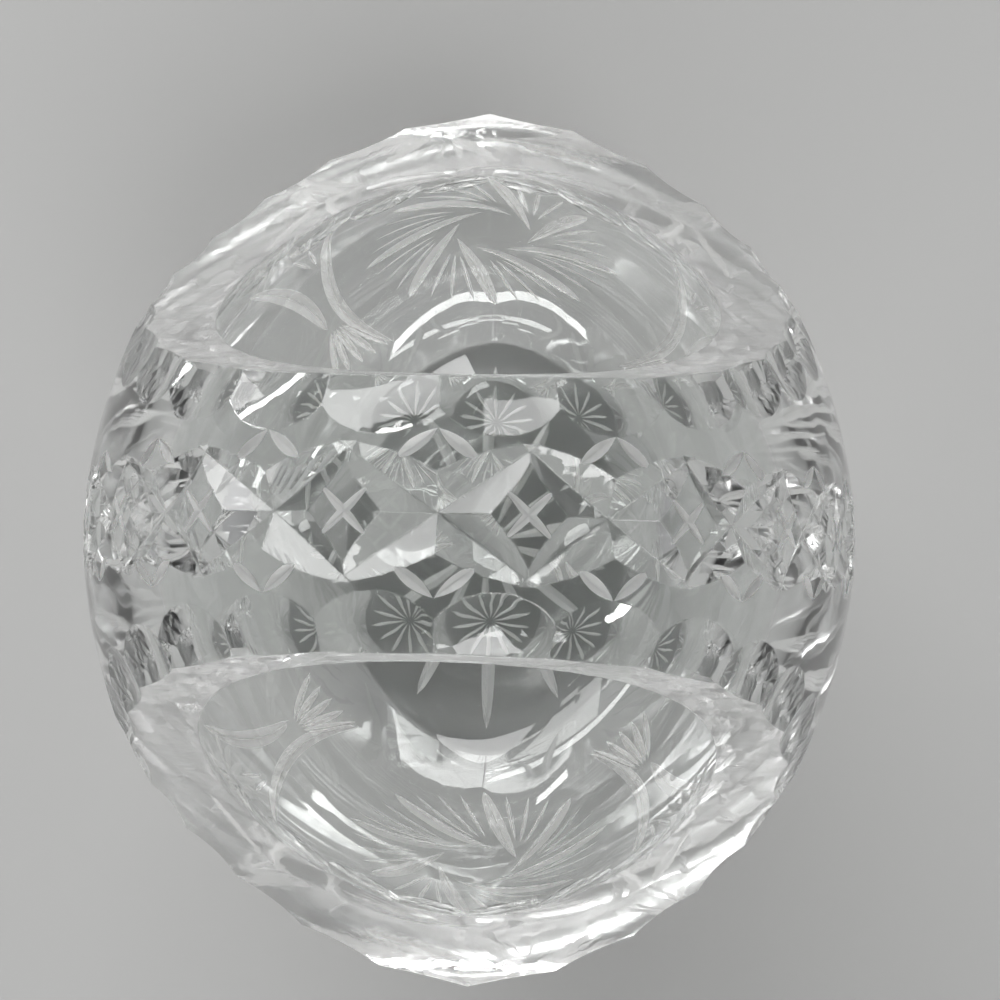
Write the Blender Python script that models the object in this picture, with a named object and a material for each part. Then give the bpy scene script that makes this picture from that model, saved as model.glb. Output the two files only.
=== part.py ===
"""Crystal basket: a boat-shaped bowl on a thick star-cut base, under a wide arched handle.

The real basket is one glass. It starts as a hollow egg with a flat foot. Two windows are ground
out of the egg, one on each side, and what stays between them over the top is the handle. Then
wheels cut the decoration: hollow flutes along both window edges, a chain of crosses over the
handle, a pinwheel on each end wall, leaf sprigs at the corners and a star under the base.

The glass is divided here into base, bowl and handle, which meet at two level joints.

Metres, +Z up. The origin is the centre of the underside, X runs along the handle's span and Y
along the length of the bowl.
"""

import math

import bmesh
import bpy
from mathutils import Vector

# The egg
HALF_WIDTH = 0.065  # X, at the belly
HALF_LENGTH = 0.0815  # Y, at the belly
HEIGHT = 0.174
BELLY_HEIGHT = 0.0655
PLAN_ROUNDNESS = 1.82  # 2 gives a plain oval seen from above, less gives more pointed ends
BASE_HALF_WIDTH = 0.0465  # X, where the egg is cut flat
WALL_AT_SIDES = 0.0075
WALL_AT_ENDS = 0.0145
HANDLE_THICKNESS = 0.006
FLOOR_THICKNESS = 0.014
CAVITY_SQUARENESS = 3.0  # 2 gives a round cavity floor, more gives a flatter one

# The windows
HANDLE_WIDTH = 0.0258  # Y, at the top of the arch
RIM_TIP_HEIGHT = 0.082  # where the rim is lowest, at both ends of the bowl
RIM_SWOOP = 0.72  # 1 gives a straight rise from tip to handle, less gives a deeper swoop

# The joints between the three parts
BASE_JOINT_HEIGHT = 0.012
HANDLE_JOINT_HEIGHT = 0.126
JOINT_GAP = 0.0003

# Flutes along the window edges, from the bowl's tips to the handle
FLUTE_PITCH_ON_HANDLE = 0.0117
FLUTE_PITCH_ON_BOWL = 0.0172
FLUTE_DEPTH_ON_HANDLE = 0.0014
FLUTE_DEPTH_ON_BOWL = 0.0014
FLUTE_LENGTH_ON_HANDLE = 0.0060
FLUTE_LENGTH_ON_BOWL = 0.0110
FLUTE_OVERLAP = 1.22  # how far each flute runs into the next, which makes the ridge between
FLUTE_CHANGE_LOW = 0.100  # below this height flutes have their size on the bowl
FLUTE_CHANGE_HIGH = 0.150  # and above this one their size on the handle

# The wheels that cut grooves
WHEEL_HALF_ANGLE = math.radians(55)
CROSS_WHEEL_HALF_ANGLE = math.radians(62)
CUTTER_CLEARANCE = 0.0005  # how far a cutter stands out of the glass
SATIN_FULLNESS = 0.6  # 1 draws a cut out to long points, less leaves its ends blunter
BLADE_TAPER = 1.4  # 1 makes a blade widest in its middle, more makes it widest further out

# The chain of crosses over the handle
CROSS_PITCH = 0.0176
CROSS_COUNT_PER_SIDE = 6
CROSS_REACH = 0.0098  # half its length along the handle
CROSS_HALF_HEIGHT = 0.0068
CROSS_WIDTH = 0.0070  # where its two legs cross
SMALL_CROSS_REACH = 0.0028
SMALL_CROSS_WIDTH = 0.0010
LEAF_PAIR_APEX = 0.0080  # from the handle's middle line
LEAF_PAIR_FOOT = 0.0047
LEAF_PAIR_SPREAD = 0.0042
LEAF_PAIR_WIDTH = 0.0014

# Pinwheels on the end walls
PINWHEEL_HEIGHT = 0.045
PINWHEEL_BLADES = 8
PINWHEEL_HUB = 0.0110  # the blades' inner ends lie on this circle
PINWHEEL_RADIUS = 0.0390
PINWHEEL_SWIRL = math.radians(75)  # from a blade's tip round to its inner end
PINWHEEL_BLADE_WIDTH = 0.0042
PINWHEEL_RAYS = 3  # fine rays between two blades
PINWHEEL_RAY_START = 0.0165
PINWHEEL_RAY_END = 0.0370
PINWHEEL_RAY_SWIRL = math.radians(22)
PINWHEEL_RAY_GATHER = 0.55  # 1 keeps rays as far apart inside as outside, less draws them together
PINWHEEL_RAY_WIDTH = 0.0012

# Sprigs between the pinwheels and the handle. A place on the wall is its azimuth from the X axis,
# in degrees, and its height. A leaf is given by its two ends and its middle.
SPRIG_TURN = -4  # all four sprigs sit turned by this against the handle
SPRIG_OUTER_LEAF = ((53.5, 0.090), (45.5, 0.045), (52.5, 0.0135))
SPRIG_OUTER_LEAF_WIDTH = 0.0036
SPRIG_RIM_LEAF = ((33.5, 0.090), (39, 0.063), (40.3, 0.037))
SPRIG_RIM_LEAF_WIDTH = 0.0046
SPRIG_FAN_RAYS = 5
SPRIG_FAN_ROOT = (42, 0.039)
SPRIG_FAN_EDGE = ((34.5, 0.018), (51, 0.0135))  # where the first and the last ray end
SPRIG_FAN_START = 0.2  # share of a ray that is left uncut next to the root
SPRIG_FAN_WIDTH = 0.0022
SPRIG_RIM_FAN_RAYS = 3
SPRIG_RIM_FAN_ROOT = (46, 0.064)
SPRIG_RIM_FAN_EDGE = ((43, 0.083), (50, 0.080))
SPRIG_RIM_FAN_START = 0.35
SPRIG_RIM_FAN_WIDTH = 0.0011

# Star under the base
STAR_RAYS = 14
STAR_START = 0.0035
STAR_MARGIN = 0.0085  # flat ring left between the star and the base's edge
STAR_RAY_WIDTH = 0.0036
STAR_TAPER = 1.5  # 1 makes a ray widest in its middle, more makes it widest further out

# The glass
CLEAR_CRYSTAL = (0.90, 0.93, 0.92)
CRYSTAL_ROUGHNESS = 0.03
CRYSTAL_REFRACTIVE_INDEX = 1.55
SHARP_FROM = math.radians(20)  # edges flatter than this are shaded round

# Faces per shape
EGG_DIVISIONS = 12  # along a quarter of its girth
CAVITY_DIVISIONS = 10
RIM_POINTS = 32
EDGE_STEPS = 200  # of a window edge and the handle's arch, as paths that cuts are laid along
LONG_GROOVE_STATIONS = 5
STAR_RAY_STATIONS = 4
SHORT_GROOVE_STATIONS = 2
FLUTE_SEGMENTS = 8
FLUTE_MIDDLE_RING = 0.6  # shares of the flute's own outline
FLUTE_OUTER_RING = 1.3
BISECTIONS = 40

# What follows from the sizes above
BELLY_CENTRE = Vector((0, 0, BELLY_HEIGHT))
SHELL_RISE = HEIGHT - BELLY_HEIGHT
SHELL_DROP = BELLY_HEIGHT / math.sqrt(1 - (BASE_HALF_WIDTH / HALF_WIDTH) ** 2)
CAVITY_HALF_WIDTH = HALF_WIDTH - WALL_AT_SIDES
CAVITY_HALF_LENGTH = HALF_LENGTH - WALL_AT_ENDS
CAVITY_RISE = SHELL_RISE - HANDLE_THICKNESS
CAVITY_DROP = BELLY_HEIGHT - FLOOR_THICKNESS
BASE_HALF_LENGTH = BASE_HALF_WIDTH * HALF_LENGTH / HALF_WIDTH
HANDLE_HALF_WIDTH = HANDLE_WIDTH / 2
BEYOND = HEIGHT  # how far a trimming block reaches past the glass

UP = Vector((0, 0, 1))


def plan_level(x, y, half_width, half_length):
    """Seen from above: 1 on an outline of these half sizes, less inside it and more outside."""
    across = (abs(x) / half_width) ** PLAN_ROUNDNESS
    along = (abs(y) / half_length) ** PLAN_ROUNDNESS
    return (across + along) ** (1 / PLAN_ROUNDNESS)


def shell_vertical(z):
    """The egg's vertical half size on this side of the belly."""
    return SHELL_RISE if z > 0 else SHELL_DROP


def on_shell(point):
    """The point of the outer surface in the direction of this one, seen from the belly's centre."""
    ray = point - BELLY_CENTRE
    level = plan_level(ray.x, ray.y, HALF_WIDTH, HALF_LENGTH)
    return BELLY_CENTRE + ray / math.hypot(level, ray.z / shell_vertical(ray.z))


def shell_normal(point):
    """The outward direction of the outer surface at a point on it."""
    ray = point - BELLY_CENTRE
    level = plan_level(ray.x, ray.y, HALF_WIDTH, HALF_LENGTH)
    bend = level ** (2 - PLAN_ROUNDNESS)
    steep = PLAN_ROUNDNESS - 1
    return Vector(
        (
            bend * math.copysign((abs(ray.x) / HALF_WIDTH) ** steep, ray.x) / HALF_WIDTH,
            bend * math.copysign((abs(ray.y) / HALF_LENGTH) ** steep, ray.y) / HALF_LENGTH,
            ray.z / shell_vertical(ray.z) ** 2,
        )
    ).normalized()


def wall_point(azimuth, height):
    """The point of the outer surface at an azimuth from the X axis, in degrees, and a height."""
    z = height - BELLY_HEIGHT
    reach = math.sqrt(1 - (z / shell_vertical(z)) ** 2)
    x = math.cos(math.radians(azimuth))
    y = math.sin(math.radians(azimuth))
    reach /= plan_level(x, y, 1, 1)
    return Vector((HALF_WIDTH * reach * x, HALF_LENGTH * reach * y, height))


def rim_height(y):
    """Height of the window edge, which swoops from the tips of the bowl up to the handle."""
    out = (abs(y) - HANDLE_HALF_WIDTH) / (HALF_LENGTH - HANDLE_HALF_WIDTH)
    share = (1 - min(max(out, 0), 1) ** RIM_SWOOP) ** (1 / RIM_SWOOP)
    return RIM_TIP_HEIGHT + (HEIGHT - RIM_TIP_HEIGHT) * share


def rim_out(y):
    """How far out in X the window edge lies at this y, or 0 past its two ends."""
    rise = (rim_height(y) - BELLY_HEIGHT) / SHELL_RISE
    reach = math.sqrt(max(1 - rise**2, 0)) ** PLAN_ROUNDNESS
    rest = reach - (abs(y) / HALF_LENGTH) ** PLAN_ROUNDNESS
    return HALF_WIDTH * max(rest, 0) ** (1 / PLAN_ROUNDNESS)


def edge_end(inside, outside):
    """The y between these two at which a window edge meets the plane X = 0."""
    for _ in range(BISECTIONS):
        middle = (inside + outside) / 2
        if rim_out(middle) > 0:
            inside = middle
        else:
            outside = middle
    return inside


class Path:
    """A chain of points that can be read at a distance along it."""

    def __init__(self, points):
        self.points = points
        self.marks = [0.0]
        for here, there in zip(points, points[1:]):
            self.marks.append(self.marks[-1] + (there - here).length)
        self.length = self.marks[-1]

    def at(self, distance):
        distance = min(max(distance, 0.0), self.length)
        for i in range(len(self.points) - 1):
            if distance <= self.marks[i + 1]:
                run = self.marks[i + 1] - self.marks[i]
                share = (distance - self.marks[i]) / run if run else 0.0
                return self.points[i].lerp(self.points[i + 1], share)
        return self.points[-1].copy()

    def along(self, distance):
        """The direction of the path there."""
        step = self.length / (4 * len(self.points))
        return (self.at(distance + step) - self.at(distance - step)).normalized()


def new_object(name, bm, collection):
    """An object made from a bmesh."""
    mesh = bpy.data.meshes.new(name)
    bm.to_mesh(mesh)
    bm.free()
    obj = bpy.data.objects.new(name, mesh)
    collection.objects.link(obj)
    return obj


def hide_cutter(obj):
    obj.hide_render = True
    obj.display_type = "WIRE"
    return obj


def add_egg(bm, divisions, half_width, half_length, rise, drop, squareness=2.0):
    """An egg round the belly's centre: a cube cut into a grid and pushed out to a round form.

    rise and drop are its heights over and under the belly. squareness shapes its lower half.
    """
    bmesh.ops.create_cube(bm, size=2.0)
    bmesh.ops.subdivide_edges(
        bm, edges=bm.edges[:], cuts=divisions - 1, use_grid_fill=True
    )
    for vert in bm.verts:
        even = Vector([math.tan(c * math.pi / 4) for c in vert.co])
        x, y, z = even.normalized()
        level = math.hypot(x, y)
        if z < 0:
            z = -((1 - min(level, 1) ** squareness) ** (1 / squareness))
        stretch = level / plan_level(x, y, 1, 1) if level > 0 else 1
        vert.co = Vector(
            (
                x * stretch * half_width,
                y * stretch * half_length,
                z * (rise if z > 0 else drop),
            )
        )
    bmesh.ops.translate(bm, verts=bm.verts, vec=BELLY_CENTRE)
    bmesh.ops.triangulate(bm, faces=bm.faces)


def egg_blank(name, collection):
    """The solid egg before anything is cut from it."""
    bm = bmesh.new()
    add_egg(bm, EGG_DIVISIONS, HALF_WIDTH, HALF_LENGTH, SHELL_RISE, SHELL_DROP)
    return new_object(name, bm, collection)


def cavity_cutter(collection):
    """The hollow inside the egg."""
    bm = bmesh.new()
    add_egg(
        bm,
        CAVITY_DIVISIONS,
        CAVITY_HALF_WIDTH,
        CAVITY_HALF_LENGTH,
        CAVITY_RISE,
        CAVITY_DROP,
        CAVITY_SQUARENESS,
    )
    return hide_cutter(new_object("cavity", bm, collection))


def window_cutter(name, side, collection):
    """What is ground away on one side of the handle: the outline above the rim, run along X."""
    outline = [Vector((0, side * (HALF_LENGTH + BEYOND), RIM_TIP_HEIGHT))]
    for i in range(RIM_POINTS + 1):
        # equal steps of this share put more points where the rim turns up
        share = (1 - i / RIM_POINTS) ** (1 / RIM_SWOOP)
        y = HANDLE_HALF_WIDTH + (HALF_LENGTH - HANDLE_HALF_WIDTH) * share
        outline.append(Vector((0, side * y, rim_height(y))))
    outline.append(Vector((0, side * HANDLE_HALF_WIDTH, HEIGHT + BEYOND)))
    outline.append(Vector((0, side * (HALF_LENGTH + BEYOND), HEIGHT + BEYOND)))
    bm = bmesh.new()
    verts = [bm.verts.new(p - Vector((BEYOND, 0, 0))) for p in outline]
    face = bm.faces.new(verts)
    grown = bmesh.ops.extrude_face_region(bm, geom=[face])["geom"]
    moved = [v for v in grown if isinstance(v, bmesh.types.BMVert)]
    bmesh.ops.translate(bm, verts=moved, vec=Vector((2 * BEYOND, 0, 0)))
    bmesh.ops.recalc_face_normals(bm, faces=bm.faces)
    return hide_cutter(new_object(name, bm, collection))


def zone_block(name, bottom, top, collection):
    """A block that keeps only the heights from bottom to top."""
    bm = bmesh.new()
    bmesh.ops.create_cube(bm, size=1.0)
    size = Vector((2 * BEYOND, 2 * BEYOND, top - bottom))
    bmesh.ops.scale(bm, verts=bm.verts, vec=size)
    bmesh.ops.translate(bm, verts=bm.verts, vec=UP * (top + bottom) / 2)
    return hide_cutter(new_object(name, bm, collection))


def add_groove(
    bm, points, normals, width, taper=1.0, fullness=1.0, wheel=WHEEL_HALF_ANGLE
):
    """A V groove along points on the glass: the solid that the wheel takes, closed at both ends.

    taper moves the widest place: 1 is the middle, more is nearer the far end. fullness under 1
    makes the ends blunter. wheel is the half angle of the wheel's edge.
    """
    last = len(points) - 1
    bottoms = []
    lefts = []
    rights = []
    for i, (point, normal) in enumerate(zip(points, normals)):
        ahead = points[min(i + 1, last)] - points[max(i - 1, 0)]
        across = ahead.cross(normal).normalized()
        share = (i / last) ** taper
        half = width / 2 * (4 * share * (1 - share)) ** fullness
        depth = half / math.tan(wheel)
        top_half = half + CUTTER_CLEARANCE * math.tan(wheel)
        top = point + normal * CUTTER_CLEARANCE
        bottoms.append(bm.verts.new(point - normal * depth))
        lefts.append(bm.verts.new(top - across * top_half))
        rights.append(bm.verts.new(top + across * top_half))
    for i in range(last):
        for near, far in ((bottoms, lefts), (lefts, rights), (rights, bottoms)):
            bm.faces.new((near[i], near[i + 1], far[i + 1], far[i]))
    for i in (0, last):
        bm.faces.new((bottoms[i], lefts[i], rights[i]))


def shell_groove(bm, route, width, stations, **shape):
    """A V groove that follows a route laid on the outer surface.

    route takes a share from 0 to 1 and gives a point near the surface. shape is passed on.
    """
    points = [on_shell(route(i / stations)) for i in range(stations + 1)]
    normals = [shell_normal(point) for point in points]
    add_groove(bm, points, normals, width, **shape)


def straight(start, end):
    return lambda share: start.lerp(end, share)


def curved(start, middle, end):
    """A route from start through middle to end."""
    bow = middle - (start + end) / 2
    return lambda share: start.lerp(end, share) + bow * 4 * share * (1 - share)


def add_flute(bm, edge_point, along, half_width, length, depth):
    """A hollow flute that opens to the window edge: a shallow dish laid on the outer surface."""
    normal = shell_normal(edge_point)
    inward = normal.cross(along).normalized()
    loops = []
    for radius in (FLUTE_MIDDLE_RING, FLUTE_OUTER_RING):
        loop = []
        for i in range(FLUTE_SEGMENTS):
            angle = 2 * math.pi * i / FLUTE_SEGMENTS
            place = (
                edge_point
                + along * half_width * radius * math.cos(angle)
                + inward * length * radius * math.sin(angle)
            )
            foot = on_shell(place)
            sunk = depth * (1 - radius**2)
            loop.append(bm.verts.new(foot - shell_normal(foot) * sunk))
        loops.append(loop)
    middle, outer = loops
    pit = bm.verts.new(edge_point - normal * depth)
    lid = bm.verts.new(edge_point + normal * (depth + CUTTER_CLEARANCE))
    for i in range(FLUTE_SEGMENTS):
        j = (i + 1) % FLUTE_SEGMENTS
        bm.faces.new((pit, middle[i], middle[j]))
        bm.faces.new((middle[i], outer[i], outer[j], middle[j]))
        bm.faces.new((outer[i], lid, outer[j]))


def window_edge(side):
    """Half the outer edge of one window as a path, from the bowl's tip over +X to the handle."""
    inside = (HANDLE_HALF_WIDTH + HALF_LENGTH) / 2
    tip = edge_end(inside, HALF_LENGTH)
    top = edge_end(inside, HANDLE_HALF_WIDTH)
    points = []
    for i in range(EDGE_STEPS + 1):
        # a half turn of a cosine puts more points near both ends, where the edge bends most
        y = top + (tip - top) * (1 + math.cos(math.pi * i / EDGE_STEPS)) / 2
        points.append(Vector((rim_out(y), side * y, rim_height(y))))
    return Path(points)


def fluted(height, on_handle, on_bowl):
    """A flute's size at this height: one value on the handle, another on the bowl."""
    share = (height - FLUTE_CHANGE_LOW) / (FLUTE_CHANGE_HIGH - FLUTE_CHANGE_LOW)
    return on_bowl + (on_handle - on_bowl) * min(max(share, 0.0), 1.0)


def flute_marks(edge):
    """Distances along an edge at which one flute ends and the next begins."""
    step = edge.length / EDGE_STEPS
    counts = [0.0]
    for i in range(EDGE_STEPS):
        height = edge.at((i + 0.5) * step).z
        pitch = fluted(height, FLUTE_PITCH_ON_HANDLE, FLUTE_PITCH_ON_BOWL)
        counts.append(counts[-1] + step / pitch)
    flutes = round(counts[-1])
    marks = [0.0]
    for i in range(EDGE_STEPS):
        wanted = len(marks) * counts[-1] / flutes
        if counts[i + 1] >= wanted and len(marks) < flutes:
            share = (wanted - counts[i]) / (counts[i + 1] - counts[i])
            marks.append((i + share) * step)
    marks.append(edge.length)
    return marks


def flute_cutters(collection):
    """Flutes round both windows, every second one in its own cutter, so that none overlap."""
    layers = [bmesh.new(), bmesh.new()]
    for side in (1, -1):
        edge = window_edge(side)
        marks = flute_marks(edge)
        for i, (first, last) in enumerate(zip(marks, marks[1:])):
            distance = (first + last) / 2
            point = on_shell(edge.at(distance))
            along = edge.along(distance)
            half_width = (last - first) / 2 * FLUTE_OVERLAP
            length = fluted(point.z, FLUTE_LENGTH_ON_HANDLE, FLUTE_LENGTH_ON_BOWL)
            depth = fluted(point.z, FLUTE_DEPTH_ON_HANDLE, FLUTE_DEPTH_ON_BOWL)
            # the same flute on both sides of the basket
            for hand in (1, -1):
                flip = Vector((hand, 1, 1))
                add_flute(
                    layers[(i + (hand < 0)) % 2],
                    point * flip,
                    along * flip * side * hand,
                    half_width,
                    length,
                    depth,
                )
    return [finish_cutter(f"flutes_{i}", bm, collection) for i, bm in enumerate(layers)]


def finish_cutter(name, bm, collection):
    bmesh.ops.triangulate(bm, faces=bm.faces)
    bmesh.ops.recalc_face_normals(bm, faces=bm.faces)
    return hide_cutter(new_object(name, bm, collection))


def handle_arch():
    """The handle's middle line over the top, as a path on the outer surface along +X."""
    points = []
    for i in range(EDGE_STEPS + 1):
        angle = 2 * math.pi / 3 * (2 * i / EDGE_STEPS - 1)
        height = math.cos(angle)
        points.append(
            BELLY_CENTRE
            + Vector((HALF_WIDTH * math.sin(angle), 0, shell_vertical(height) * height))
        )
    return Path(points)


def cross_chain_cutters(collection):
    """The chain of crosses over the handle, with the small cuts between them.

    Cuts that lean one way are kept from those that lean the other way, and long ones from small
    ones, so that nothing overlaps within one cutter.
    """
    arch = handle_arch()
    middle = arch.length / 2

    def place(distance, y):
        return arch.at(middle + distance) + Vector((0, y, 0))

    cutters = []
    for lean in (1, -1):
        long_cuts = bmesh.new()
        small_cuts = bmesh.new()
        for i in range(-CROSS_COUNT_PER_SIDE, CROSS_COUNT_PER_SIDE + 1):
            s = i * CROSS_PITCH

            def leg(share, s=s):
                t = 2 * share - 1
                return place(s + t * CROSS_REACH, lean * t * CROSS_HALF_HEIGHT)

            shell_groove(
                long_cuts,
                leg,
                CROSS_WIDTH,
                LONG_GROOVE_STATIONS,
                wheel=CROSS_WHEEL_HALF_ANGLE,
            )
            # one leaf of the pair in the field above, one in the field below
            for up in (1, -1):
                start = place(s, up * LEAF_PAIR_APEX)
                end = place(s + lean * up * LEAF_PAIR_SPREAD, up * LEAF_PAIR_FOOT)
                shell_groove(
                    small_cuts,
                    straight(start, end),
                    LEAF_PAIR_WIDTH,
                    SHORT_GROOVE_STATIONS,
                )
            # the small cross in the diamond after this one
            if i < CROSS_COUNT_PER_SIDE:
                d = s + CROSS_PITCH / 2
                start = place(d - SMALL_CROSS_REACH, -lean * SMALL_CROSS_REACH)
                end = place(d + SMALL_CROSS_REACH, lean * SMALL_CROSS_REACH)
                shell_groove(
                    small_cuts,
                    straight(start, end),
                    SMALL_CROSS_WIDTH,
                    SHORT_GROOVE_STATIONS,
                )
        name = "rising" if lean > 0 else "falling"
        cutters.append(finish_cutter(f"crosses_{name}", long_cuts, collection))
        cutters.append(finish_cutter(f"small_cuts_{name}", small_cuts, collection))
    return cutters


class Field:
    """A place on the bowl's wall with its own sideways and upward directions."""

    def __init__(self, azimuth, height):
        self.centre = wall_point(azimuth, height)
        out = shell_normal(self.centre)
        self.right = UP.cross(out).normalized()
        self.up = out.cross(self.right).normalized()

    def polar(self, radius, angle):
        sideways = self.right * radius * math.cos(angle)
        return self.centre + sideways + self.up * radius * math.sin(angle)


def pinwheel_cutters(collection):
    """A pinwheel on each end wall: leaf blades that miss the hub to one side, with rays between."""
    layers = [bmesh.new(), bmesh.new(), bmesh.new()]
    step = 2 * math.pi / PINWHEEL_BLADES
    for azimuth in (90, -90):
        field = Field(azimuth, PINWHEEL_HEIGHT)
        for i in range(PINWHEEL_BLADES):
            angle = step * i
            start = field.polar(PINWHEEL_HUB, angle + PINWHEEL_SWIRL)
            end = field.polar(PINWHEEL_RADIUS, angle)
            shell_groove(
                layers[i % 2],
                straight(start, end),
                PINWHEEL_BLADE_WIDTH,
                LONG_GROOVE_STATIONS,
                taper=BLADE_TAPER,
                fullness=SATIN_FULLNESS,
            )
            for j in range(PINWHEEL_RAYS):
                turn = (j + 1) / (PINWHEEL_RAYS + 1)
                inner = 0.5 + (turn - 0.5) * PINWHEEL_RAY_GATHER
                start = field.polar(
                    PINWHEEL_RAY_START, angle + PINWHEEL_RAY_SWIRL + step * inner
                )
                end = field.polar(PINWHEEL_RAY_END, angle + step * turn)
                shell_groove(
                    layers[2],
                    straight(start, end),
                    PINWHEEL_RAY_WIDTH,
                    SHORT_GROOVE_STATIONS,
                    fullness=SATIN_FULLNESS,
                )
    return [
        finish_cutter(f"pinwheels_{i}", bm, collection) for i, bm in enumerate(layers)
    ]


def corner_point(place, hand, end):
    """A place of the sprig in one of the four corners: +X or -X by hand, +Y or -Y by end."""
    azimuth, height = place
    if hand * end < 0:
        azimuth = -azimuth
    if hand < 0:
        azimuth += 180
    return wall_point(azimuth + SPRIG_TURN, height)


def sprig_cutters(collection):
    """A leaf sprig in each corner between a pinwheel and the handle's foot."""
    leaves = bmesh.new()
    fans = [bmesh.new(), bmesh.new()]
    for hand, end in ((1, 1), (1, -1), (-1, 1), (-1, -1)):
        for leaf, width in (
            (SPRIG_OUTER_LEAF, SPRIG_OUTER_LEAF_WIDTH),
            (SPRIG_RIM_LEAF, SPRIG_RIM_LEAF_WIDTH),
        ):
            start, middle, finish = (corner_point(place, hand, end) for place in leaf)
            shell_groove(
                leaves,
                curved(start, middle, finish),
                width,
                LONG_GROOVE_STATIONS,
                fullness=SATIN_FULLNESS,
            )
        for rays, root, edge, uncut, width in (
            (
                SPRIG_FAN_RAYS,
                SPRIG_FAN_ROOT,
                SPRIG_FAN_EDGE,
                SPRIG_FAN_START,
                SPRIG_FAN_WIDTH,
            ),
            (
                SPRIG_RIM_FAN_RAYS,
                SPRIG_RIM_FAN_ROOT,
                SPRIG_RIM_FAN_EDGE,
                SPRIG_RIM_FAN_START,
                SPRIG_RIM_FAN_WIDTH,
            ),
        ):
            apex = corner_point(root, hand, end)
            first, last = (corner_point(place, hand, end) for place in edge)
            for i in range(rays):
                tip = first.lerp(last, i / (rays - 1))
                shell_groove(
                    fans[i % 2],
                    straight(apex.lerp(tip, uncut), tip),
                    width,
                    SHORT_GROOVE_STATIONS,
                    fullness=SATIN_FULLNESS,
                )
    return [
        finish_cutter("leaves", leaves, collection),
        *(finish_cutter(f"fans_{i}", bm, collection) for i, bm in enumerate(fans)),
    ]


def star_cutter(collection):
    """The star under the base: rays that widen outwards and stop short of the edge."""
    bm = bmesh.new()
    for i in range(STAR_RAYS):
        angle = 2 * math.pi * (i + 0.5) / STAR_RAYS
        reach = 1 / plan_level(
            math.cos(angle),
            math.sin(angle),
            BASE_HALF_WIDTH - STAR_MARGIN,
            BASE_HALF_LENGTH - STAR_MARGIN,
        )
        way = Vector((math.cos(angle), math.sin(angle), 0))
        points = [
            way * (STAR_START + (reach - STAR_START) * j / STAR_RAY_STATIONS)
            for j in range(STAR_RAY_STATIONS + 1)
        ]
        add_groove(
            bm,
            points,
            [-UP] * len(points),
            STAR_RAY_WIDTH,
            STAR_TAPER,
            SATIN_FULLNESS,
        )
    return finish_cutter("star", bm, collection)


def crystal(name):
    """Clear lead crystal."""
    material = bpy.data.materials.new(name)
    material.use_nodes = True
    shader = material.node_tree.nodes["Principled BSDF"]
    shader.inputs["Base Color"].default_value = (*CLEAR_CRYSTAL, 1.0)
    shader.inputs["Roughness"].default_value = CRYSTAL_ROUGHNESS
    shader.inputs["IOR"].default_value = CRYSTAL_REFRACTIVE_INDEX
    shader.inputs["Transmission Weight"].default_value = 1.0
    return material


def boolean(obj, operation, cutter):
    modifier = obj.modifiers.new(cutter.name, "BOOLEAN")
    modifier.operation = operation
    modifier.solver = "EXACT"
    modifier.object = cutter


def glass_part(name, bottom, top, cutters, parts, tools):
    """One part of the basket: the egg between two heights, with its cuts."""
    obj = egg_blank(name, parts)
    boolean(obj, "INTERSECT", zone_block(f"{name}_zone", bottom, top, tools))
    for cutter in cutters:
        boolean(obj, "DIFFERENCE", cutter)
    obj.data.materials.append(crystal(f"{name}_crystal"))
    obj.data.shade_smooth()
    obj.data.set_sharp_from_angle(angle=SHARP_FROM)
    return obj


def main():
    for obj in list(bpy.data.objects):
        bpy.data.objects.remove(obj)
    parts = bpy.data.collections.new("crystal_basket")
    tools = bpy.data.collections.new("crystal_basket_cutters")
    bpy.context.scene.collection.children.link(parts)
    bpy.context.scene.collection.children.link(tools)

    cavity = cavity_cutter(tools)
    windows = [
        window_cutter("window_far", 1, tools),
        window_cutter("window_near", -1, tools),
    ]
    flutes = flute_cutters(tools)
    crosses = cross_chain_cutters(tools)
    pinwheels = pinwheel_cutters(tools)
    sprigs = sprig_cutters(tools)
    star = star_cutter(tools)

    glass_part(
        "base",
        0.0,
        BASE_JOINT_HEIGHT,
        [star, *pinwheels],
        parts,
        tools,
    )
    glass_part(
        "bowl",
        BASE_JOINT_HEIGHT + JOINT_GAP,
        HANDLE_JOINT_HEIGHT,
        [cavity, *windows, *flutes, *crosses, *pinwheels, *sprigs],
        parts,
        tools,
    )
    glass_part(
        "handle",
        HANDLE_JOINT_HEIGHT + JOINT_GAP,
        HEIGHT + BEYOND,
        [cavity, *windows, *flutes, *crosses],
        parts,
        tools,
    )


main()
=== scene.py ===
"""The looks of the crystal basket: one clear cut glass on a pale floor, seen from almost overhead.

The crystal is one seamless mesh in place of the three solids of the frame. It is an egg with a
cavity and two windows, cut by wheels as the real one was. Every kind of surface has its own
material slot, so that polished glass, polished cuts and satin cuts look as they should.
"""

import math

import bmesh
import bpy
from mathutils import Matrix, Vector


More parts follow.
